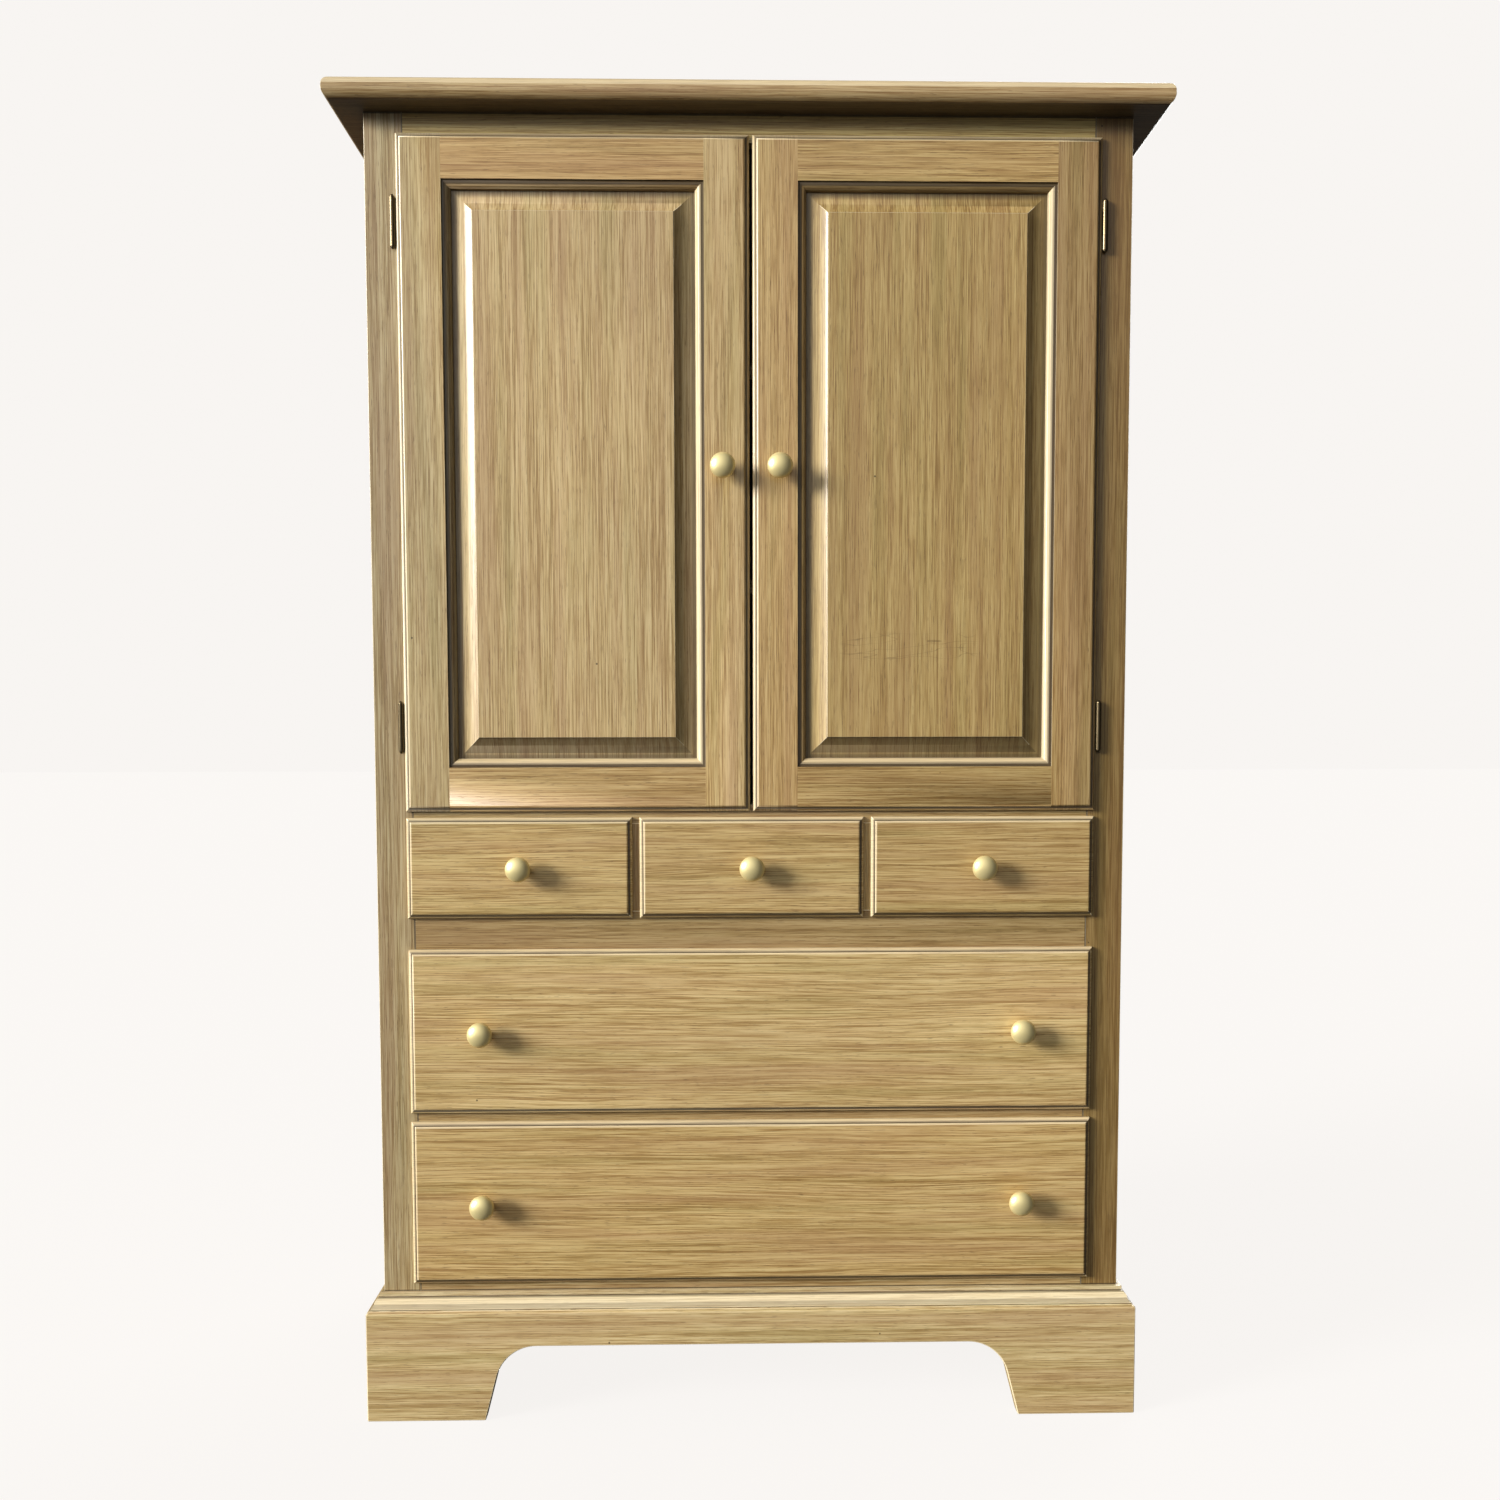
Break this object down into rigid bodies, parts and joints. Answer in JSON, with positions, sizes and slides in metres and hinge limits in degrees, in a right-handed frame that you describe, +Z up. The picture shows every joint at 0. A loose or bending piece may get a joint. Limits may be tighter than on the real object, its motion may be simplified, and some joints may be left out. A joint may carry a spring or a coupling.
{
  "type": "armoire",
  "caption": "Free-standing wooden armoire with raised-panel doors over small and full-width drawers, on a bracket-foot base with a moulded top edge.",
  "frame": {"origin": "on the floor, under the middle of the whole piece's plan", "axes": "+Z up, the doors and drawers face -Y, +X to the right seen from the front"},
  "size_m": [1.103, 0.5837, 1.786],
  "materials": {
    "case_wood": "satin lacquer over a honey stain with dark glaze",
    "front_wood": "satin lacquer over a honey stain with dark glaze",
    "panel_wood": "satin lacquer over a honey stain with dark glaze",
    "inner_wood": "sealed pale wood",
    "knob_brass": "antique brass",
    "hinge_brass": "antique brass",
    "catch_steel": "zinc plated"
  },
  "bodies": {
    "case": {"top_slab": "case_wood", "side_panel_left": "case_wood", "side_panel_right": "case_wood", "back_panel": "inner_wood", "face_stile_left": "case_wood", "face_stile_right": "case_wood", "top_rail": "case_wood", "door_rail": "case_wood", "small_drawer_rail": "case_wood", "large_drawer_rail": "case_wood", "bottom_rail": "case_wood", "drawer_dividers": "case_wood", "cupboard_floor": "inner_wood", "dust_panels": "inner_wood", "case_bottom": "inner_wood", "shelves": "inner_wood", "shelf_pins": "catch_steel", "drawer_guides": "inner_wood", "drawer_kickers": "inner_wood", "top_cleats": "inner_wood", "base_front": "case_wood", "base_side_left": "case_wood", "base_side_right": "case_wood", "base_back": "inner_wood", "base_moulding": "case_wood", "foot_blocks": "inner_wood", "frame_hinge_leaves": "hinge_brass", "hinge_pins": "hinge_brass", "door_catches": "catch_steel"},
    "left_door": {"left_door_hinge_stile": "front_wood", "left_door_lock_stile": "front_wood", "left_door_top_rail": "front_wood", "left_door_bottom_rail": "front_wood", "left_door_panel": "panel_wood", "left_door_hinge_leaves": "hinge_brass", "left_door_knob": "knob_brass", "left_door_strike": "catch_steel"},
    "right_door": {"right_door_hinge_stile": "front_wood", "right_door_lock_stile": "front_wood", "right_door_top_rail": "front_wood", "right_door_bottom_rail": "front_wood", "right_door_panel": "panel_wood", "right_door_hinge_leaves": "hinge_brass", "right_door_knob": "knob_brass", "right_door_strike": "catch_steel"},
    "small_drawer_left": {"small_drawer_left_front": "front_wood", "small_drawer_left_box": "inner_wood", "small_drawer_left_knob": "knob_brass"},
    "small_drawer_middle": {"small_drawer_middle_front": "front_wood", "small_drawer_middle_box": "inner_wood", "small_drawer_middle_knob": "knob_brass"},
    "small_drawer_right": {"small_drawer_right_front": "front_wood", "small_drawer_right_box": "inner_wood", "small_drawer_right_knob": "knob_brass"},
    "upper_large_drawer": {"upper_large_drawer_front": "front_wood", "upper_large_drawer_box": "inner_wood", "upper_large_drawer_knobs": "knob_brass"},
    "lower_large_drawer": {"lower_large_drawer_front": "front_wood", "lower_large_drawer_box": "inner_wood", "lower_large_drawer_knobs": "knob_brass"}
  },
  "joints": [
    {"name": "left_door_hinge", "type": "hinge", "parent": "case", "child": "left_door", "pos_m": [-0.471, -0.25245, 1.28375], "axis": [0, 0, -1], "range_deg": [0, 160]},
    {"name": "right_door_hinge", "type": "hinge", "parent": "case", "child": "right_door", "pos_m": [0.471, -0.25245, 1.28375], "axis": [0, 0, 1], "range_deg": [0, 160]},
    {"name": "small_drawer_left_slide", "type": "slide", "parent": "case", "child": "small_drawer_left", "axis": [0, -1, 0], "range_m": [0, 0.35]},
    {"name": "small_drawer_middle_slide", "type": "slide", "parent": "case", "child": "small_drawer_middle", "axis": [0, -1, 0], "range_m": [0, 0.35]},
    {"name": "small_drawer_right_slide", "type": "slide", "parent": "case", "child": "small_drawer_right", "axis": [0, -1, 0], "range_m": [0, 0.35]},
    {"name": "upper_large_drawer_slide", "type": "slide", "parent": "case", "child": "upper_large_drawer", "axis": [0, -1, 0], "range_m": [0, 0.35]},
    {"name": "lower_large_drawer_slide", "type": "slide", "parent": "case", "child": "lower_large_drawer", "axis": [0, -1, 0], "range_m": [0, 0.35]}
  ]
}
